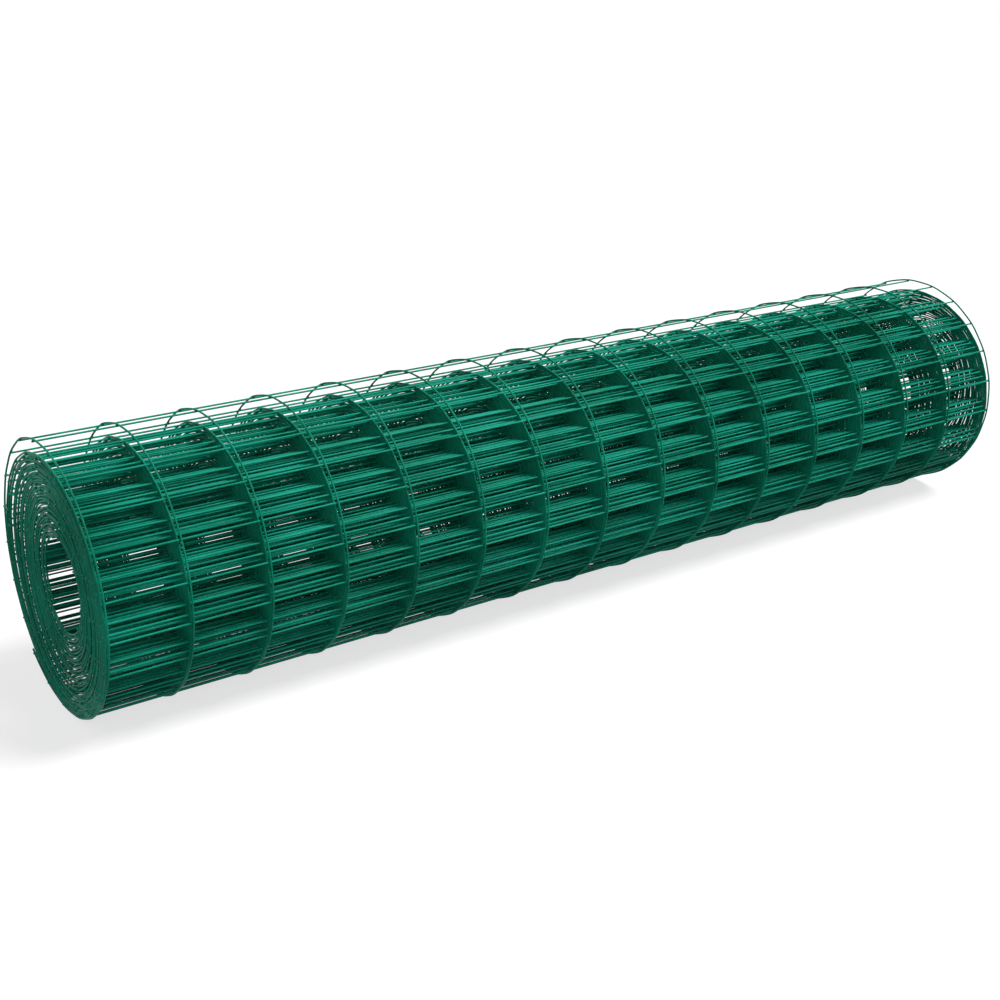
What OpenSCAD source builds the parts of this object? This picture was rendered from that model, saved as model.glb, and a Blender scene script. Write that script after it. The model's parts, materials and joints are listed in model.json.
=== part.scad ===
// Roll of coated welded wire fencing, lying on its side.
// X runs along the roll, -Y is the front and +Z is up.
// The origin is on the floor, under the middle of the roll.

/* [Mesh] */
// Spacing of the line wires, along the roll
line_spacing = 100; // [50:5:150]
// Number of cells across the height of the fence
cells = 15; // [4:1:20]
// Spacing of the cross wires, along the fence
cross_spacing = 50; // [25:5:100]
// Diameter of the coated wire
wire_d = 2.5; // [1.6:0.1:3]
// Depth that a weld sinks a cross wire into a line wire
weld_sink = 0.3; // [0.1:0.1:0.6]
// Length of a cross wire past the middle of the edge wire
overhang = 4; // [2:0.5:10]

/* [Roll] */
// Outer diameter of the roll
roll_d = 340; // [300:5:400]
// Diameter of the bore
bore_d = 106; // [60:2:130]
// Distance from the roll's centre to the bore's, towards the tight side
bore_offset = 37; // [10:1:45]
// Angle of the tight side above the level front
tight_side_angle = 10; // [0:1:45]
// Gap between the wires of two turns, at the tight side
turn_gap = 0.7; // [0.3:0.1:3]
// Gap that the outer turn has sprung open, at the loose side
spring_gap = 15; // [5:1:25]
// Number of outer turns whose cross wires show in the open cells
open_turns = 2; // [1:1:3]
// Distance round the roll from a turn's cross wires to those of the next turn inwards
cross_shift = 10; // [0:1:20]
// Depth of the open cells at the tight side, down to the drum of inner turns
tight_cell_depth = 30; // [20:1:40]
// Depth of the open cells at the loose side, down to the drum of inner turns
loose_cell_depth = 42; // [30:1:55]

/* [Hidden] */
$fn = 64;

fence_h = cells * line_spacing;
roll_r = roll_d / 2;
bore_r = bore_d / 2;
drum_r = roll_r - (tight_cell_depth + loose_cell_depth) / 2;
drum_offset = (loose_cell_depth - tight_cell_depth) / 2;
rim_r = roll_r - wire_d / 2;
roll_h = fence_h + wire_d;
// Depth of a cross wire's middle under the outside of its turn
cross_depth = 1.5 * wire_d - weld_sink;

bore_front = bore_r + bore_offset;
bore_back = bore_r - bore_offset;
turns = round((roll_r - bore_front) / (wire_d + turn_gap));
turn_pitch = (roll_r - bore_front) / turns;
groove_w = turn_pitch - wire_d;
packed_turns = turns - 1;
packed_back = roll_r - spring_gap;
// The ends of the cross wires take up the outer turns of the end faces
groove_turns = turns - open_turns - 2;
// Angle of the short land where half a turn of groove ends and the next one starts
land_angle = 0.6;

// Distance from the roll's centre to the outside of a turn, at the tight side
function front_of(turn) = bore_front + turn * turn_pitch;

// Distance from the roll's centre to the outside of a turn, at the loose side
function back_of(turn) =
    turn < packed_turns
        ? bore_back + (packed_back - bore_back) * turn / packed_turns
        : packed_back + spring_gap * (turn - packed_turns);

// Lays a roll that was turned about Z along X, on the floor, with its +X side to the front
module lying() {
    translate([0, 0, roll_r]) rotate([0, 90, 0]) rotate([0, 0, -90]) children();
}

// Turns the front, which is +X, up to the side where the turns are tight
module towards_tight_side() {
    rotate([0, 0, -tight_side_angle]) children();
}

// Wall of one line wire's turns, stacked in one plane, with the outer turn as its round rim
module line_wire_wall() {
    rotate_extrude() {
        translate([0, -wire_d / 2]) square([rim_r, wire_d]);
        translate([rim_r, 0]) circle(d = wire_d);
    }
}

module line_wire_walls() {
    for (i = [0 : cells])
        translate([0, 0, i * line_spacing - fence_h / 2]) line_wire_wall();
}

// Drum of inner turns, which lies nearer the tight side
module inner_turns() {
    towards_tight_side()
        translate([drum_offset, 0, 0])
            cylinder(r = drum_r, h = fence_h, center = true, $fn = 128);
}

// Half a turn of the groove between two turns, from one distance to the next along the tight side's line
module half_turn_groove(start, end) {
    translate([(start - end) / 2, 0])
        rotate_extrude(angle = 180 - land_angle)
            translate([(start + end) / 2, 0]) square([groove_w, wire_d], center = true);
}

// Spiral groove between the turns, as half circles whose ends lie on the line through the centres
module turn_grooves() {
    towards_tight_side()
        for (turn = [1 : groove_turns]) {
            half_turn_groove(front_of(turn), back_of(turn + 0.5));
            rotate([0, 0, 180])
                half_turn_groove(back_of(turn + 0.5), front_of(turn + 1));
        }
}

module bore() {
    towards_tight_side()
        translate([bore_offset, 0, 0])
            cylinder(d = bore_d, h = 2 * roll_h, center = true, $fn = 96);
}

// Cross wires of one turn, welded inside its line wires and moved round the roll by a distance
module turn_of_cross_wires(front, back, shift) {
    ring_r = (front + back) / 2 - cross_depth;
    count = round(2 * PI * ring_r / cross_spacing);
    shift_angle = shift / ring_r * 180 / PI;
    translate([(front - back) / 2, 0, 0])
        for (i = [0 : count - 1])
            rotate([0, 0, i * 360 / count - shift_angle])
                translate([ring_r, 0, 0])
                    cylinder(d = wire_d, h = fence_h + 2 * overhang, center = true);
}

module cross_wires() {
    towards_tight_side()
        for (inwards = [0 : open_turns - 1])
            turn_of_cross_wires(front_of(turns - inwards), back_of(turns - inwards), inwards * cross_shift);
}

module mesh_roll() {
    color("#0b6e52")
        lying() {
            difference() {
                union() {
                    inner_turns();
                    line_wire_walls();
                }
                bore();
                for (side = [-1, 1])
                    translate([0, 0, side * roll_h / 2]) turn_grooves();
            }
            cross_wires();
        }
}

mesh_roll();
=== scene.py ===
# %% [markdown]
# # A roll of welded wire fencing
#
# The object is a length of garden fence: straight cross wires welded to long line wires, coated with green
# plastic and rolled up. It lies on its side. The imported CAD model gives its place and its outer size, and
# this lesson dresses it with the real mesh, wire by wire. A picture of mesh on a drum would be quicker, but
# a roll of mesh is mostly air, and what the eye reads is how the turns lie behind each other. Every shape
# below is worked out with numpy as whole arrays.

# %% The frame and its sizes
import json
import math

import bpy
import numpy as np
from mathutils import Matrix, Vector


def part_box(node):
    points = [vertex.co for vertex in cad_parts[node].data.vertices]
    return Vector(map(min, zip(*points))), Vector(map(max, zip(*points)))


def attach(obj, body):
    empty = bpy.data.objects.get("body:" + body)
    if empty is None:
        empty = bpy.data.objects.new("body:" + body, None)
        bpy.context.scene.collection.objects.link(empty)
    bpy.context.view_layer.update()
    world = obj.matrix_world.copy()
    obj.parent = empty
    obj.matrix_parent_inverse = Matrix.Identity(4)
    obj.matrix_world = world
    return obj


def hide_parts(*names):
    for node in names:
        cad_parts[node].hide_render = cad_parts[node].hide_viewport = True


MM = 0.001
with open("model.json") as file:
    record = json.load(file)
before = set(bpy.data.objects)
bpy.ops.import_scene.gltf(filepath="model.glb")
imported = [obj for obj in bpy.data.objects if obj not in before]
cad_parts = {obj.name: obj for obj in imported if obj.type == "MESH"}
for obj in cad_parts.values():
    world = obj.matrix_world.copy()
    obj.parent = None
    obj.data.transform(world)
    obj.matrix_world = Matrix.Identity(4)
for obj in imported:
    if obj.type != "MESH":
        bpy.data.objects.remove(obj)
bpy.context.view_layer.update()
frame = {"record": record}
node_low, node_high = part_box("mesh_roll")
roll_radius = (node_high.z - node_low.z) / 2
roll_centre_z = (node_high.z + node_low.z) / 2
bore = next(mount for mount in frame["record"]["mounts"] if mount["name"] == "bore")
bore_radius = bore["dims"]["r_mm"] * MM
bore_front = -bore["pos_m"][1]
bore_up = bore["pos_m"][2] - roll_centre_z
print(f"roll radius {roll_radius:.4f} m, bore radius {bore_radius:.4f} m, {bore_front:.4f} m to the front")

# %% [markdown]
# ## The mesh
#
# Fencing of this kind has cells of 100 by 50 mm. Sixteen line wires run round the roll, 100 mm apart, and
# the cross wires lie under them, one every 50 mm of fence. A weld presses the two wires a little into each
# other. These few sizes could stand in the cells that use them, but they drive all that follows, so they are
# together here, where another fence is made by changing them.

# %% Sizes of the mesh
CELLS = 15
LINE_SPACING = 0.100
CROSS_SPACING = 0.050
WIRE_D = 0.0025
WIRE_R = WIRE_D / 2
WELD_SINK = 0.0003
FENCE_HEIGHT = CELLS * LINE_SPACING
LINE_X = np.arange(CELLS + 1) * LINE_SPACING - FENCE_HEIGHT / 2
CROSS_DEPTH = WIRE_D - WELD_SINK
print(f"{len(LINE_X)} line wires over {FENCE_HEIGHT:.2f} m")

# %% [markdown]
# ## The spiral
#
# Seen from its end the roll is one long spiral. A perfect spiral about one centre would look machined: here
# the first turns lie tight round the bore, which is off the middle, and the later ones are tight at the
# front but loose at the back. So each turn is an oval that reaches its own distance from the roll's middle
# to the front, the back, the top and the bottom, and the four reaches grow along the wire. The last turn is
# the round outside, which has sprung off the rest at the top and the back. Each of the looser turns is about
# two fifths of a cell longer than the turn inside it. After five turns that makes two whole cells, so that
# the cross wires lie behind each other again, and leave deep pockets between them.

# %% Path of a line wire, seen from the end
LINE_RADIUS = roll_radius - WIRE_R
TIGHT_TURNS = 17
PACKED_TURNS = 30
TURNS = PACKED_TURNS + 1
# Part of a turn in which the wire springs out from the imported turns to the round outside
SPRING_OUT = 0.33
# Angle of the free end, from the front over the top to low at the back
END_ANGLE = math.radians(231.3)
# To the front, the back, the top and the bottom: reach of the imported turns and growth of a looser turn
PACKED_REACH = np.array([0.1661, 0.1541, 0.1550, 0.1660])
LOOSE_GROWTH = np.array([0.002667, 0.005000, 0.002532, 0.002532])

bore_reach = bore_radius + WIRE_R + CROSS_DEPTH + np.array([bore_front, -bore_front, bore_up, -bore_up])
tight_reach = PACKED_REACH - (PACKED_TURNS - TIGHT_TURNS) * LOOSE_GROWTH
round_reach = np.full(4, LINE_RADIUS)
REACH_TURNS = np.array([0, TIGHT_TURNS, PACKED_TURNS, PACKED_TURNS + SPRING_OUT, TURNS])
TURN_REACH = np.stack([bore_reach, tight_reach, PACKED_REACH, round_reach, round_reach])


def spiral(turn):
    """Place (y, z) on the spiral: the oval's middle plus its half axes times cosine and sine of an angle.

    The angle runs back from the free end, which lies low at the back, by one full circle for each turn.
    """
    front, back, top, bottom = (np.interp(turn, REACH_TURNS, reach) for reach in TURN_REACH.T)
    angle = END_ANGLE - 2 * np.pi * (turn - TURNS)
    y = -((front - back) / 2 + (front + back) / 2 * np.cos(angle))
    z = roll_centre_z + (top - bottom) / 2 + (top + bottom) / 2 * np.sin(angle)
    return np.stack([y, z], axis=-1)


def outward(turn, step=0.002):
    """Unit normal of the spiral, away from the bore: the direction of travel turned by a quarter circle."""
    along = spiral(np.minimum(turn + step, TURNS)) - spiral(np.maximum(turn - step, 0))
    normal = np.stack([along[..., 1], -along[..., 0]], axis=-1)
    return normal / np.linalg.norm(normal, axis=-1, keepdims=True)


FINE_STEPS = 720
fine_turn = np.linspace(0, TURNS, TURNS * FINE_STEPS + 1)
fine_step = np.linalg.norm(np.diff(spiral(fine_turn), axis=0), axis=1)
fine_length = np.concatenate([[0], np.cumsum(fine_step)])
fence_length = fine_length[-1]
print(f"{TURNS} turns hold {fence_length:.2f} m of fence")

# %% [markdown]
# ## What makes it hand-rolled
#
# No turn lies exactly over the last. The fence creeps sideways as it is rolled, it goes on a little askew,
# and the tension changes, so that a turn stands off more at one end of the roll than at the other. Random
# numbers for each wire would shake the wires loose from each other, so each of these is a slow wave along
# the fence. A cross wire stays straight, because each wave is at most a straight line along it, and the line
# wires follow the cross wires that they are welded to.

# %% Slow waves along the fence
SIDE_CREEP = 0.0012
SKEW = 0.0025
STAND_OFF = 0.0005
# Pace and start of each wave
CREEP_WAVE = (2.3, 0.7)
SKEW_WAVE = (0.9, 2.1)
LEFT_WAVE = (7.1, 0.2)
RIGHT_WAVE = (6.3, 1.9)
SECOND_PACE = 1.618


def wave(turn, pace, start):
    """Slow uneven wave between -1 and 1: the mean of two sines whose paces don't divide each other."""
    return (np.sin(pace * turn + start) + np.sin(SECOND_PACE * pace * turn + 2 * start)) / 2


def creep(turn):
    """Distance that the fence has moved along the roll at a turn."""
    return SIDE_CREEP * wave(turn, *CREEP_WAVE)


def skew(turn):
    """Distance along the fence by which the right end of a cross wire runs ahead of its middle."""
    return SKEW * wave(turn, *SKEW_WAVE)


def stand_off(turn, across):
    """Distance inwards from the smooth spiral: a wave at the left end mixed into another at the right.

    across runs from -1 at the left end of the roll to 1 at the right end.
    """
    left = wave(turn, *LEFT_WAVE) * (1 - across) / 2
    right = wave(turn, *RIGHT_WAVE) * (1 + across) / 2
    return STAND_OFF * (1 + left + right) / 2


def mesh_point(length, across):
    """Turn, place (y, z) and outward normal of the fence at a length along it and a place across it."""
    turn = np.interp(length, fine_length, fine_turn)
    normal = outward(turn)
    place = spiral(turn) - stand_off(turn, across)[..., None] * normal
    return turn, place, normal


print(f"the fence creeps up to {np.abs(creep(fine_turn)).max() / MM:.2f} mm sideways")

# %% [markdown]
# ## Where the wires cross
#
# The cross wires sit at even steps along the fence, the first one just behind the cut end. The rings that
# will carry a line wire could lie closer where the turns are small. They are at even steps too, with the
# same step count between every two welds, so that the wire can bend in the same way in each cell.

# %% Lengths of the rings and the crossings
FIRST_CROSS = 0.010
RINGS_PER_CELL = 5
cross_count = int((fence_length - FIRST_CROSS) / CROSS_SPACING) + 1
cross_length = fence_length - FIRST_CROSS - CROSS_SPACING * np.arange(cross_count)[::-1]
cross_turn = np.interp(cross_length, fine_length, fine_turn)
ring_step = CROSS_SPACING / RINGS_PER_CELL
ring_length = np.arange(fence_length, 0, -ring_step)[::-1]
print(f"{cross_count} cross wires, {len(ring_length)} rings on each line wire")

# %% [markdown]
# ## Building with shader nodes
#
# The wire is zinc-coated steel in a skin of green plastic. Close up the skin isn't one colour: its tone
# drifts along the fence, rubbing leaves paler chalky patches, and a little dust settles on what faces up. A
# painted picture could hold all that, but noise in Object coordinates needs no file and doesn't repeat from
# turn to turn. Line wires, cross wires and welds share the effects, so each one is a node group, built once
# and placed in each material with its own values. A few helpers keep the building short.

# %% Helpers for node trees
FULL = (0.0, 1.0)


def new_group(name, inputs, outputs):
    """Empty shader group: inputs are (label, socket type, value), outputs are (label, socket type)."""
    group = bpy.data.node_groups.new(name, "ShaderNodeTree")
    for label, kind, value in inputs:
        group.interface.new_socket(label, in_out="INPUT", socket_type=kind).default_value = value
    for label, kind in outputs:
        group.interface.new_socket(label, in_out="OUTPUT", socket_type=kind)
    return group, group.nodes.new("NodeGroupInput"), group.nodes.new("NodeGroupOutput")


def noise(tree, waves, detail):
    """Noise in Object coordinates: so many waves a metre, with finer waves added detail times."""
    place = tree.nodes.new("ShaderNodeTexCoord")
    texture = tree.nodes.new("ShaderNodeTexNoise")
    texture.inputs["Scale"].default_value = waves
    texture.inputs["Detail"].default_value = detail
    tree.links.new(place.outputs["Object"], texture.inputs["Vector"])
    return texture.outputs["Fac"]


def ranged(tree, value, span, to_span=FULL):
    """Value moved straight from one span to another, and held at its ends."""
    node = tree.nodes.new("ShaderNodeMapRange")
    for label, number in zip(("From Min", "From Max", "To Min", "To Max"), span + to_span):
        node.inputs[label].default_value = number
    tree.links.new(value, node.inputs["Value"])
    return node.outputs["Result"]


def combined(tree, operation, first, second):
    """One value from two, such as their product or the higher one of them."""
    node = tree.nodes.new("ShaderNodeMath")
    node.operation = operation
    tree.links.new(first, node.inputs[0])
    tree.links.new(second, node.inputs[1])
    return node.outputs[0]


def blended(tree, share, first, second):
    """Colour between two colours, each a socket or a plain colour, by a share between 0 and 1."""
    node = tree.nodes.new("ShaderNodeMix")
    node.data_type = "RGBA"
    tree.links.new(share, node.inputs["Factor"])
    for label, colour in (("A", first), ("B", second)):
        socket = next(s for s in node.inputs if s.name == label and s.type == "RGBA")
        if isinstance(colour, tuple):
            socket.default_value = colour
        else:
            tree.links.new(colour, socket)
    return next(s for s in node.outputs if s.type == "RGBA")


# %% [markdown]
# ## Tone of the plastic
#
# The coating was run on in long batches, so its green drifts slowly between a deep and a fresh tone, and
# where turns have rubbed it is chalky. One noise with much detail would mix both into blotches of every
# size. So there are two, of very different size: a wide one that mixes the two greens and a small one whose
# high spots are the rubbed patches.

# %% Tone group
TONE_WAVES = 9
CHALK_WAVES = 60
MIDDLE_OF_NOISE = (0.35, 0.65)
CHALK_SPOTS = (0.52, 0.70)
BLACK = (0, 0, 0, 1)

tone_group, tone_in, tone_out = new_group(
    "coating_tone",
    [("Deep", "NodeSocketColor", BLACK), ("Fresh", "NodeSocketColor", BLACK),
     ("Chalky", "NodeSocketColor", BLACK), ("Chalk share", "NodeSocketFloat", 0.3)],
    [("Color", "NodeSocketColor")])
drift = ranged(tone_group, noise(tone_group, TONE_WAVES, detail=3), MIDDLE_OF_NOISE)
greens = blended(tone_group, drift, tone_in.outputs["Deep"], tone_in.outputs["Fresh"])
chalk = ranged(tone_group, noise(tone_group, CHALK_WAVES, detail=5), CHALK_SPOTS)
chalk = combined(tone_group, "MULTIPLY", chalk, tone_in.outputs["Chalk share"])
greens = blended(tone_group, chalk, greens, tone_in.outputs["Chalky"])
tone_group.links.new(greens, tone_out.inputs["Color"])
print(f"{tone_group.name} has {len(tone_group.nodes)} nodes")

# %% [markdown]
# ## Dust
#
# Dust settles only where the skin faces up, and never evenly. It could be painted on the points of the
# mesh, but a wire has only eight sides, so the dust would be coarse. The upward part of the normal changes
# smoothly round the wire instead. A noise breaks it up, and the product of both is the mask.

# %% Dust group
DUST_WAVES = 110
FACING_UP = (0.3, 1.0)
DUST_SPOTS = (0.42, 0.68)

dust_group, dust_in, dust_out = new_group(
    "settled_dust", [("Amount", "NodeSocketFloat", 0.2)], [("Mask", "NodeSocketFloat")])
facing = dust_group.nodes.new("ShaderNodeSeparateXYZ")
dust_group.links.new(dust_group.nodes.new("ShaderNodeNewGeometry").outputs["Normal"], facing.inputs[0])
upward = ranged(dust_group, facing.outputs["Z"], FACING_UP)
dust = ranged(dust_group, noise(dust_group, DUST_WAVES, detail=4), DUST_SPOTS)
dust = combined(dust_group, "MULTIPLY", upward, dust)
dust = combined(dust_group, "MULTIPLY", dust, dust_in.outputs["Amount"])
dust_group.links.new(dust, dust_out.inputs["Mask"])
print(f"{dust_group.name} has {len(dust_group.nodes)} nodes")

# %% [markdown]
# ## Skin of the plastic
#
# The plastic is half glossy, more in some places than in others, and it has the faint orange peel of a skin
# that set while it was hot. One noise mixes the dullest and the glossiest roughness, and a much finer one
# is the height of the orange peel. Real faces could carry that height, but it is far too small to be worth
# them.

# %% Skin group
SKIN_WAVES = 700

skin_group, skin_in, skin_out = new_group(
    "plastic_skin", [("Dullest", "NodeSocketFloat", 0.45), ("Glossiest", "NodeSocketFloat", 0.25)],
    [("Roughness", "NodeSocketFloat"), ("Height", "NodeSocketFloat")])
shine = skin_group.nodes.new("ShaderNodeMix")
shine_share = ranged(skin_group, noise(skin_group, CHALK_WAVES, detail=4), MIDDLE_OF_NOISE)
skin_group.links.new(shine_share, shine.inputs["Factor"])
skin_group.links.new(skin_in.outputs["Glossiest"], shine.inputs["A"])
skin_group.links.new(skin_in.outputs["Dullest"], shine.inputs["B"])
skin_group.links.new(shine.outputs["Result"], skin_out.inputs["Roughness"])
skin_group.links.new(noise(skin_group, SKIN_WAVES, detail=2), skin_out.inputs["Height"])
print(f"{skin_group.name} has {len(skin_group.nodes)} nodes")

# %% [markdown]
# ## Finishes of the wire
#
# Line wires and cross wires come from two spools, so their greens differ a little. The cross wires, which
# lie inside, are also set lighter, and that part is painted light: it stands in for the light that runs
# along them. Over the welds the plastic has run together: it is thicker there, smoother and a little darker.
# Each finish could be built by itself, but one function makes all three, so that they differ only in their
# values.

# %% Coated finishes
SKIN_DEPTH = 0.00012
SKIN_STRENGTH = 0.5
SPECULAR = 0.04
DUST_COLOUR = (0.22, 0.30, 0.26, 1)


def new_material(name):
    """New material with its node tree and its shader."""
    material = bpy.data.materials.new(name)
    material.use_nodes = True
    return material, material.node_tree, material.node_tree.nodes["Principled BSDF"]


def placed(tree, group, values):
    """A group in a material's tree, with its own values on its inputs."""
    node = tree.nodes.new("ShaderNodeGroup")
    node.node_tree = group
    for label, value in values.items():
        node.inputs[label].default_value = value
    return node


def coated(name, deep, fresh, chalky, chalk_share, dust_amount, dullest, glossiest):
    """Green plastic: the tone under a thin dust, the skin's gloss, and its fine bumps as the normal."""
    material, tree, shader = new_material(name)
    tone = placed(tree, tone_group, {
        "Deep": deep, "Fresh": fresh, "Chalky": chalky, "Chalk share": chalk_share})
    dusty = placed(tree, dust_group, {"Amount": dust_amount})
    skin = placed(tree, skin_group, {"Dullest": dullest, "Glossiest": glossiest})
    colour = blended(tree, dusty.outputs["Mask"], tone.outputs["Color"], DUST_COLOUR)
    bump = tree.nodes.new("ShaderNodeBump")
    bump.inputs["Strength"].default_value = SKIN_STRENGTH
    bump.inputs["Distance"].default_value = SKIN_DEPTH
    tree.links.new(skin.outputs["Height"], bump.inputs["Height"])
    tree.links.new(bump.outputs["Normal"], shader.inputs["Normal"])
    tree.links.new(colour, shader.inputs["Base Color"])
    tree.links.new(skin.outputs["Roughness"], shader.inputs["Roughness"])
    shader.inputs["Specular IOR Level"].default_value = SPECULAR
    return material


line_coating = coated(
    "line_coating", deep=(0.002, 0.170, 0.098, 1), fresh=(0.005, 0.275, 0.174, 1),
    chalky=(0.040, 0.400, 0.280, 1), chalk_share=0.25, dust_amount=0.05, dullest=0.46, glossiest=0.28)
# Lighter greens than the line wires: partly another spool, partly painted light that runs along the cross
# wires
cross_coating = coated(
    "cross_coating", deep=(0.002, 0.225, 0.138, 1), fresh=(0.008, 0.345, 0.232, 1),
    chalky=(0.055, 0.460, 0.335, 1), chalk_share=0.25, dust_amount=0.05, dullest=0.40, glossiest=0.24)
weld_coating = coated(
    "weld_coating", deep=(0.002, 0.135, 0.078, 1), fresh=(0.005, 0.235, 0.148, 1),
    chalky=(0.040, 0.370, 0.260, 1), chalk_share=0.30, dust_amount=0.06, dullest=0.36, glossiest=0.20)
print("coated finishes:", ", ".join(m.name for m in (line_coating, cross_coating, weld_coating)))

# %% [markdown]
# ## Cut steel
#
# Where the fence was cut, the bare steel of the line wires shows, dull and slightly mottled. The cutter's
# marks could be fine grooves, but the spots are only 2 mm wide, so two fine noises are enough: one for the
# colour and one for the roughness that the cutter left.

# %% Finish of the cut ends
MOTTLE_WAVES = 1500
CUTTER_WAVES = 2400
CUTTER_MARKS = (0.3, 0.7)
STEEL_ROUGHNESS = (0.32, 0.55)
STEEL_METALLIC = 0.9
DULL_STEEL = (0.30, 0.30, 0.29, 1)
BRIGHT_STEEL = (0.52, 0.53, 0.53, 1)

cut_steel, steel_tree, steel_shader = new_material("cut_steel")
steel_shader.inputs["Metallic"].default_value = STEEL_METALLIC
mottle = ranged(steel_tree, noise(steel_tree, MOTTLE_WAVES, detail=4), MIDDLE_OF_NOISE)
steel_colour = blended(steel_tree, mottle, DULL_STEEL, BRIGHT_STEEL)
cutter = ranged(steel_tree, noise(steel_tree, CUTTER_WAVES, detail=3), CUTTER_MARKS, STEEL_ROUGHNESS)
steel_tree.links.new(steel_colour, steel_shader.inputs["Base Color"])
steel_tree.links.new(cutter, steel_shader.inputs["Roughness"])
print(f"{cut_steel.name} is {STEEL_METALLIC:.0%} metal")

# %% [markdown]
# ## Tubes
#
# Each wire is a tube: a small ring of points carried along a path. A curve with a bevel would do it too, but
# here all rings are made in one sum, and the faces are index arithmetic on the grid of rings, so that the
# number of faces stays known. Each shape also gets its place on a map of the piece, because the long thin
# wires need one to be baked: the map holds them as rows.

# %% Rings, their faces and their map
WIRE_SIDES = 8
side_angle = np.arange(WIRE_SIDES) * 2 * np.pi / WIRE_SIDES
side_circle = np.stack([np.cos(side_angle), np.sin(side_angle)], axis=-1)


def tube_points(centres, out, across, radii):
    """Ring points: centre plus radius times (cosine of the side's angle along out, sine along across)."""
    cosine = side_circle[:, :1] * out[..., None, :]
    sine = side_circle[:, 1:] * across[..., None, :]
    return centres[..., None, :] + radii[..., None, None] * (cosine + sine)


def ring_faces(rings, sides):
    """Quads between neighbouring rings: corners k and k+1 of ring i, then k+1 and k of ring i+1."""
    i = np.arange(rings - 1)[:, None] * sides
    k = np.arange(sides)[None, :]
    after = (k + 1) % sides
    quads = np.stack([i + k, i + after, i + sides + after, i + sides + k], axis=-1)
    return quads.reshape(-1, 4)


def ring_map(low_u, high_u, low_v, high_v, sides):
    """Map of the quads between two rings: u from one ring to the next, v from one side to the next."""
    k = np.arange(sides)
    near_v = low_v[:, None] + (high_v - low_v)[:, None] * k / sides
    far_v = low_v[:, None] + (high_v - low_v)[:, None] * (k + 1) / sides
    start_u = low_u[:, None] + 0 * near_v
    end_u = high_u[:, None] + 0 * near_v
    corners = [(start_u, near_v), (start_u, far_v), (end_u, far_v), (end_u, near_v)]
    return np.stack([np.stack(corner, axis=-1) for corner in corners], axis=-2).reshape(-1, 4, 2)


print(f"a wire has {WIRE_SIDES} sides")

# %% [markdown]
# ## One piece from many shapes
#
# A line wire comes with its welds and its cut ends, and all cross wires together are one piece. Joining
# objects afterwards would be slow, so the shapes of a piece are gathered as arrays first, and become one
# mesh at the end. The piece then takes the place of the CAD solid, and rides on the roll's body.

# %% A shell that gathers shapes


class Shell:
    """Vertices, faces, face materials and map corners of one piece, gathered shape by shape."""

    def __init__(self):
        self.vertices = []
        self.faces = []
        self.material = []
        self.corners = []
        self.count = 0

    def add_vertices(self, points):
        """Adds points and returns the index of the first one."""
        first = self.count
        self.vertices.append(points.reshape(-1, 3))
        self.count += len(self.vertices[-1])
        return first

    def add_faces(self, faces, corner_uv, material):
        """Adds faces that all have as many corners, with their map corners and their material's index."""
        self.faces += faces.tolist()
        self.corners.append(corner_uv.reshape(-1, 2))
        self.material.append(np.full(len(faces), material))

    def make(self, name, materials):
        """New object at the origin, smooth, that rides on the roll in place of the CAD solid."""
        mesh = bpy.data.meshes.new(name)
        mesh.from_pydata(np.concatenate(self.vertices).tolist(), [], self.faces)
        for material in materials:
            mesh.materials.append(material)
        mesh.polygons.foreach_set("use_smooth", np.ones(len(mesh.polygons), dtype=bool))
        mesh.polygons.foreach_set("material_index", np.concatenate(self.material).astype(np.int32))
        layer = mesh.uv_layers.new(name="OFBake", do_init=False)
        layer.uv.foreach_set("vector", np.concatenate(self.corners).astype(np.float32).ravel())
        mesh.update()
        piece = bpy.data.objects.new(name, mesh)
        bpy.context.scene.collection.objects.link(piece)
        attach(piece, "root")
        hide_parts("mesh_roll")
        return piece


# %% [markdown]
# ## Line wires
#
# A line wire follows the spiral in one plane. Between two welds it is a little straighter than the round
# turn, because the stiff cross wires hold it like the corners of a many-sided drum. Straight stretches with
# sharp corners would show that too, but a soft dip halfway between the welds looks more like bent wire. At
# both ends the wire was cut, so the steel shows inside the coating. On the map it is cut into rows, one
# above the other.

# %% Tube of a line wire
FLAT = 0.0006
CORE_SHARE = 0.80
COATING_SLOT = 0
WELD_SLOT = 1
STEEL_SLOT = 2
ROW_RINGS = 120
ROW_MARGIN = 0.06
WIRE_MAP_TOP = 0.72
CUT_MAP_SPOT = np.array([0.99, 0.99])
CUT_MAP_SIZE = 0.004


def add_cut_end(shell, ring_points, centre, first_outer, order):
    """Flat end of a wire: a band of coating round a steel core that is CORE_SHARE of the wire's radius."""
    first_inner = shell.add_vertices(centre + CORE_SHARE * (ring_points - centre))
    k = np.arange(WIRE_SIDES)
    after = (k + 1) % WIRE_SIDES
    band = np.stack([first_outer + k, first_outer + after, first_inner + after, first_inner + k], axis=-1)
    core = (first_inner + k)[None, :]
    rim = CUT_MAP_SIZE * side_circle
    band_uv = np.stack([rim[k], rim[after], rim[after] * CORE_SHARE, rim[k] * CORE_SHARE], axis=1)
    core_uv = rim[None, :] * CORE_SHARE
    shell.add_faces(band[:, ::order], (CUT_MAP_SPOT + band_uv)[:, ::order], COATING_SLOT)
    shell.add_faces(core[:, ::order], (CUT_MAP_SPOT + core_uv)[:, ::order], STEEL_SLOT)


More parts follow.
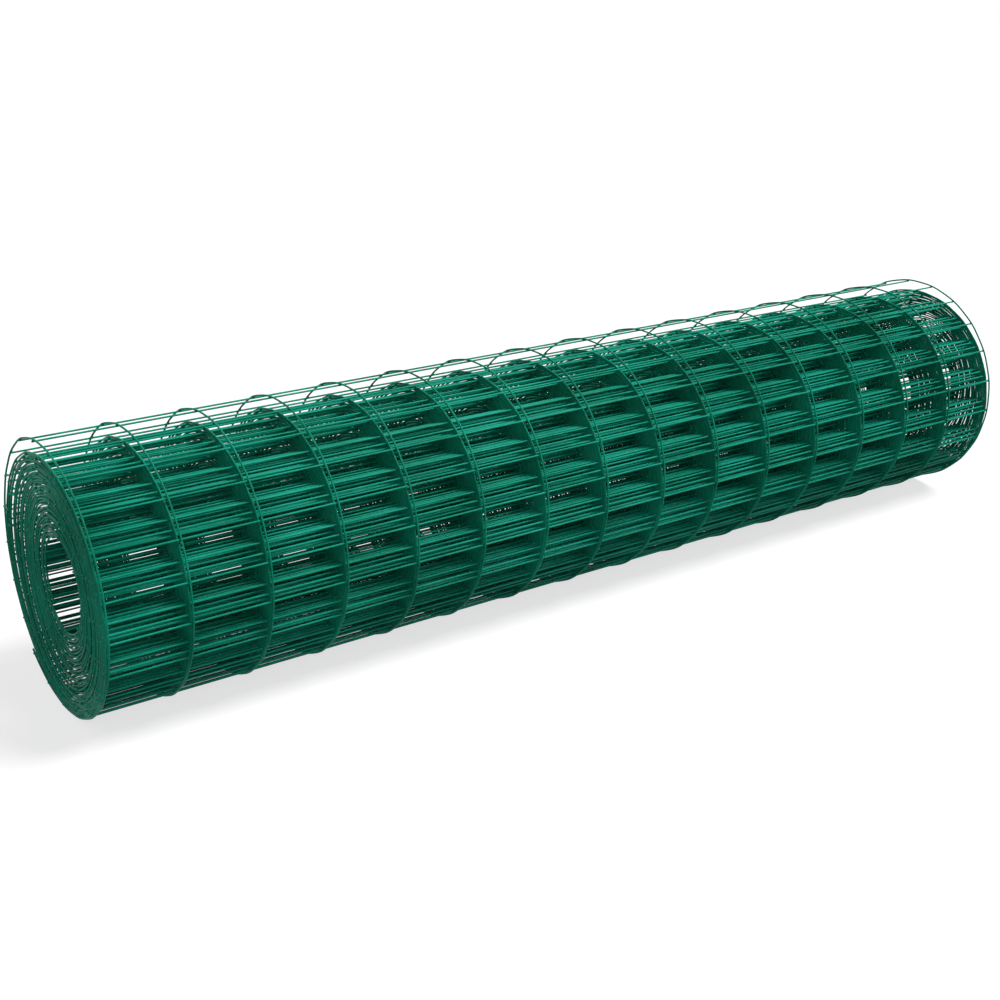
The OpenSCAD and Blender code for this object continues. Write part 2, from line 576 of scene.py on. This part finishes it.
def add_line_tube(shell, x):
    """Tube along the spiral at x, drawn in by FLAT halfway between the welds, with two cut ends."""
    across = np.full(len(ring_length), 2 * x / FENCE_HEIGHT)
    turn, place, normal = mesh_point(ring_length, across)
    phase = 2 * np.pi * (ring_length - cross_length[0]) / CROSS_SPACING
    place = place - (FLAT / 2 * (1 - np.cos(phase)))[:, None] * normal
    centres = np.column_stack([x + creep(turn), place])
    out = np.column_stack([np.zeros(len(turn)), normal])
    side = np.tile([-1.0, 0.0, 0.0], (len(turn), 1))
    points = tube_points(centres, out, side, np.full(len(turn), WIRE_R))
    first = shell.add_vertices(points)
    span = np.arange(len(turn) - 1)
    row = span // ROW_RINGS
    row_high = WIRE_MAP_TOP / (row[-1] + 1)
    low_u = (span % ROW_RINGS) / ROW_RINGS
    corner_uv = ring_map(low_u, low_u + 1 / ROW_RINGS, (row + ROW_MARGIN) * row_high,
                         (row + 1 - ROW_MARGIN) * row_high, WIRE_SIDES)
    shell.add_faces(first + ring_faces(len(turn), WIRE_SIDES), corner_uv, COATING_SLOT)
    for ring, order in ((0, -1), (len(turn) - 1, 1)):
        add_cut_end(shell, points[ring], centres[ring], first + ring * WIRE_SIDES, order)


print(f"{math.ceil((len(ring_length) - 1) / ROW_RINGS)} rows on the map of a line wire")

# %% [markdown]
# ## Welds
#
# Where two wires cross, the coating has run into the corners between them. A sharp crossing would look like
# two loose rods, so a small blob bridges it. There are thousands of welds, so a blob has only two dozen
# faces: three rings of six points and a pole at each end, one pole pointing out of the roll and one into it.

# %% Points of the welds
WELD_SIDES = 6
WELD_OUT = np.array([-0.65, 0.0, 0.65])
WELD_HALF = 0.0021
WELD_REACH = 0.72
WELD_DEEP = CROSS_DEPTH / 2 + WELD_REACH * WIRE_R
WELD_SIZE = len(WELD_OUT) * WELD_SIDES + 2


def weld_points(x):
    """Points of the welds on the line wire at x: the rings of each blob, then its inner and its outer pole.

    A ring lies WELD_OUT of the blob's half depth from its middle. Its width is WELD_HALF times the square
    root of one less the square of that share.
    """
    across = np.full(cross_count, 2 * x / FENCE_HEIGHT)
    length = np.clip(cross_length + skew(cross_turn) * across, 0, fence_length)
    turn, place, normal = mesh_point(length, across)
    middle = np.column_stack([x + creep(turn), place - CROSS_DEPTH / 2 * normal])
    out = np.column_stack([np.zeros(cross_count), normal])
    forward = np.column_stack([np.zeros(cross_count), -normal[:, 1], normal[:, 0]])
    belt_angle = np.arange(WELD_SIDES) * 2 * np.pi / WELD_SIDES
    belt = np.cos(belt_angle)[:, None] * forward[:, None, :]
    belt[..., 0] += np.sin(belt_angle)
    width = WELD_HALF * np.sqrt(1 - WELD_OUT**2)
    rings = middle[:, None, None, :] + WELD_DEEP * WELD_OUT[:, None, None] * out[:, None, None, :]
    rings = rings + width[:, None, None] * belt[:, None, :, :]
    poles = middle[:, None, :] + WELD_DEEP * np.array([-1.0, 1.0])[:, None] * out[:, None, :]
    return np.concatenate([rings.reshape(cross_count, -1, 3), poles], axis=1)


print(f"{cross_count * len(LINE_X)} welds of {WELD_SIZE} points")

# %% [markdown]
# ## Faces of the welds
#
# All welds have the same faces, only on other points. A loop could build them weld by weld, but the faces of
# one weld, with the index of each weld's first point added, give all of them at once. On the map each weld
# has a square of its own, in rows above those of the wire. With its welds a line wire is whole.

# %% Line wires with their welds
WELD_COLUMNS = 48
WELD_MAP_TOP = 0.98
WELD_MAP_FILL = 0.9


def weld_faces():
    """Faces of one weld and their map in a unit square: belts between the rings, then a fan on each pole."""
    belts = len(WELD_OUT) - 1
    strips = belts + 2
    strip = np.arange(1, belts + 1)
    belt_faces = ring_faces(len(WELD_OUT), WELD_SIDES)
    belt_map = ring_map(strip / strips, (strip + 1) / strips, np.zeros(belts), np.ones(belts), WELD_SIDES)
    k = np.arange(WELD_SIDES)
    after = (k + 1) % WELD_SIDES
    inner_pole = WELD_SIZE - 2
    outer_ring = belts * WELD_SIDES
    inner_fan = np.stack([np.full(WELD_SIDES, inner_pole), after, k], axis=-1)
    outer_fan = np.stack([np.full(WELD_SIDES, inner_pole + 1), outer_ring + k, outer_ring + after], axis=-1)
    inner_map = np.stack([np.stack([0 * k, (k + 0.5) / WELD_SIDES], axis=-1),
                          np.stack([0 * k + 1 / strips, (k + 1) / WELD_SIDES], axis=-1),
                          np.stack([0 * k + 1 / strips, k / WELD_SIDES], axis=-1)], axis=1)
    outer_map = inner_map[:, [0, 2, 1]] * np.array([-1, 1]) + np.array([1, 0])
    return [(belt_faces, belt_map), (inner_fan, inner_map), (outer_fan, outer_map)]


def add_welds(shell, x):
    """Welds on the line wire at x, each with a square of its own in the upper part of the map."""
    first = shell.add_vertices(weld_points(x))
    weld = np.arange(cross_count)
    start = first + weld[:, None, None] * WELD_SIZE
    row_high = (WELD_MAP_TOP - WIRE_MAP_TOP) / (cross_count // WELD_COLUMNS + 1)
    column = (weld % WELD_COLUMNS) / WELD_COLUMNS
    row = WIRE_MAP_TOP + (weld // WELD_COLUMNS) * row_high
    corner = np.stack([column, row], axis=-1)[:, None, None, :]
    square = WELD_MAP_FILL * np.array([1 / WELD_COLUMNS, row_high])
    for faces, face_map in weld_faces():
        shell.add_faces((start + faces).reshape(-1, faces.shape[1]), corner + square * face_map, WELD_SLOT)


def line_wire(index, x):
    """One line wire and the welds on it."""
    shell = Shell()
    add_line_tube(shell, x)
    add_welds(shell, x)
    return shell.make(f"line_wire_{index:02d}", [line_coating, weld_coating, cut_steel])


line_wires = [line_wire(index, x) for index, x in enumerate(LINE_X)]
print(f"{len(line_wires)} line wires of {len(line_wires[0].data.polygons)} faces")

# %% [markdown]
# ## Cross wires
#
# The cross wires are straight rods under the line wires. Their ends stick out a little past the edge wires,
# and the coating closes over them in a round tip. Copies of one rod would do, but each lies askew in its own
# way, so all of them are worked out at once from their two end points. A rod needs rings only at its tips
# and one in the middle, so together they are a small mesh.

# %% Rods with round tips
OVERHANG = 0.0028
TIP_REACH = np.array([0, 0.35, 1.1]) * WIRE_R
TIP_RADIUS = np.array([0.50, 0.87, 1.0]) * WIRE_R
TIP_MAP_SIZE = 0.0004


def cross_wire_end(across):
    """Middles of the rods' tips at one end of the roll: across is -1 at the left end and 1 at the right."""
    length = np.clip(cross_length + across * skew(cross_turn), 0, fence_length)
    _, place, normal = mesh_point(length, np.full(cross_count, across))
    x = across * (FENCE_HEIGHT / 2 + OVERHANG) + creep(cross_turn)
    return np.column_stack([x, place - CROSS_DEPTH * normal])


def cross_wires():
    """Straight tubes from a left to a right end point, with rings at the ends that close to a round tip."""
    left = cross_wire_end(-1.0)
    right = cross_wire_end(1.0)
    reach = TIP_REACH / (FENCE_HEIGHT + 2 * OVERHANG)
    share = np.concatenate([reach, [0.5], 1 - reach[::-1]])
    radii = np.concatenate([TIP_RADIUS, [WIRE_R], TIP_RADIUS[::-1]])
    centres = left[:, None, :] + share[:, None] * (right - left)[:, None, :]
    out = np.tile([0.0, 1.0, 0.0], centres.shape[:2] + (1,))
    side = np.tile([0.0, 0.0, 1.0], centres.shape[:2] + (1,))
    shell = Shell()
    first = shell.add_vertices(tube_points(centres, out, side, np.tile(radii, (cross_count, 1))))
    start = first + np.arange(cross_count)[:, None, None] * len(share) * WIRE_SIDES
    row = np.repeat(np.arange(cross_count), len(share) - 1)
    tube_map = ring_map(np.tile(share[:-1], cross_count), np.tile(share[1:], cross_count),
                        (row + ROW_MARGIN) / cross_count, (row + 1 - ROW_MARGIN) / cross_count, WIRE_SIDES)
    shell.add_faces((start + ring_faces(len(share), WIRE_SIDES)).reshape(-1, 4), tube_map, COATING_SLOT)
    tip_row = (np.arange(cross_count) + ROW_MARGIN) / cross_count
    for ring, order in ((0, -1), (len(share) - 1, 1)):
        caps = start[:, 0] + ring * WIRE_SIDES + np.arange(WIRE_SIDES)
        spot = np.stack([np.full(cross_count, share[ring]), tip_row], axis=-1)
        cap_uv = spot[:, None, :] + TIP_MAP_SIZE * side_circle[None, ::order]
        shell.add_faces(caps[:, ::order], cap_uv, COATING_SLOT)
    return shell.make("cross_wires", [cross_coating])


cross_piece = cross_wires()
print(f"{cross_count} cross wires of {len(cross_piece.data.polygons) // cross_count} faces")

# %% [markdown]
# ## Floor
#
# The roll lies on a plain pale floor. A white floor in full light would throw much light up into the roll
# and wash out its pockets. So the floor is a plain grey to the light, and it glows only towards the camera
# and mirror rays, which makes it white there and keeps the roll's shadow pale.

# %% Floor that is white to the camera
FLOOR_HALF = 14.0
FLOOR_LIT = (0.28, 0.28, 0.28, 1)
FLOOR_SEEN = (0.36, 0.36, 0.36, 1)
FLOOR_GLOW = 0.70
WHITE = (1, 1, 1, 1)


def seen_directly(tree):
    """Socket that is 1 for camera, mirror and glass rays, and 0 for the rays that only carry light."""
    light_path = tree.nodes.new("ShaderNodeLightPath")
    total = light_path.outputs["Is Camera Ray"]
    for name in ("Is Glossy Ray", "Is Transmission Ray"):
        total = combined(tree, "MAXIMUM", total, light_path.outputs[name])
    return total


floor_material, floor_tree, floor_shader = new_material("pale_floor")
floor_seen = seen_directly(floor_tree)
floor_colour = blended(floor_tree, floor_seen, FLOOR_LIT, FLOOR_SEEN)
floor_glow = ranged(floor_tree, floor_seen, FULL, (0.0, FLOOR_GLOW))
floor_tree.links.new(floor_colour, floor_shader.inputs["Base Color"])
floor_tree.links.new(floor_glow, floor_shader.inputs["Emission Strength"])
floor_shader.inputs["Emission Color"].default_value = WHITE
floor_shader.inputs["Roughness"].default_value = 1.0
floor_shader.inputs["Specular IOR Level"].default_value = 0.0

floor_mesh = bpy.data.meshes.new("floor")
floor_corners = np.array([(-1, -1, 0), (1, -1, 0), (1, 1, 0), (-1, 1, 0)]) * FLOOR_HALF
floor_mesh.from_pydata(floor_corners.tolist(), [], [(0, 1, 2, 3)])
floor_mesh.materials.append(floor_material)
floor = bpy.data.objects.new("floor", floor_mesh)
bpy.context.scene.collection.objects.link(floor)
print(f"floor {2 * FLOOR_HALF:.0f} m wide")

# %% [markdown]
# ## Light
#
# A soft sun lamp stands high on the right, where its light runs along the cross wires towards the camera and
# leaves the pockets between the turns dark. A weak one from the left keeps the near end from going black.
# Area lamps would do too, but over a roll of 1.5 m their light falls off from one end to the other. The sky
# is white to the camera and to mirror rays, and only a weak light to the rest.

# %% Sky and lamps
SKY_LIGHT = 0.26
# Name, direction it comes from, spread and strength
LAMPS = [
    ("key", Vector((0.50, -0.36, 0.90)), math.radians(25), 3.2),
    ("fill", Vector((-0.9, -0.6, 0.6)), math.radians(60), 0.45),
]

world = bpy.data.worlds.new("studio")
bpy.context.scene.world = world
world.use_nodes = True
sky_tree = world.node_tree
sky = sky_tree.nodes["Background"]
sky.inputs["Color"].default_value = WHITE
sky_strength = ranged(sky_tree, seen_directly(sky_tree), FULL, (SKY_LIGHT, 1.0))
sky_tree.links.new(sky_strength, sky.inputs["Strength"])

for name, comes_from, spread, strength in LAMPS:
    lamp = bpy.data.lights.new(name, "SUN")
    lamp.angle = spread
    lamp.energy = strength
    lamp_object = bpy.data.objects.new(name, lamp)
    lamp_object.rotation_euler = (-comes_from).to_track_quat("-Z", "Y").to_euler()
    bpy.context.scene.collection.objects.link(lamp_object)
print(f"{len(LAMPS)} lamps over a sky of {SKY_LIGHT}")

# %% [markdown]
# ## Camera
#
# The roll is seen from its left front and a little from above. A camera could be aimed by eye, but its
# angles, its distance and its lens were fitted to the outline of the roll, with the roll's own length and
# diameter as the ruler, so that every wire can be compared in its place.

# %% Camera at the viewing angle
CAMERA_AZIMUTH = math.radians(-35.5)
CAMERA_ELEVATION = math.radians(20.27)
CAMERA_DISTANCE = 2.1053
CAMERA_TARGET = np.array([-0.107, 0.0, 0.1310])
FOCAL_PIXELS = 1490.7
IMAGE_PIXELS = 1000
SENSOR_WIDTH = 36.0

towards_camera = np.array([
    math.sin(CAMERA_AZIMUTH) * math.cos(CAMERA_ELEVATION),
    -math.cos(CAMERA_AZIMUTH) * math.cos(CAMERA_ELEVATION),
    math.sin(CAMERA_ELEVATION),
])
camera_data = bpy.data.cameras.new("camera")
camera_data.sensor_width = SENSOR_WIDTH
camera_data.lens = SENSOR_WIDTH * FOCAL_PIXELS / IMAGE_PIXELS
camera = bpy.data.objects.new("camera", camera_data)
camera.location = CAMERA_TARGET + towards_camera * CAMERA_DISTANCE
camera.rotation_euler = (math.pi / 2 - CAMERA_ELEVATION, 0, CAMERA_AZIMUTH)
bpy.context.scene.collection.objects.link(camera)
bpy.context.scene.camera = camera
bpy.context.scene.view_settings.view_transform = "Standard"
print(f"camera {CAMERA_DISTANCE:.2f} m away with a {camera_data.lens:.1f} mm lens")
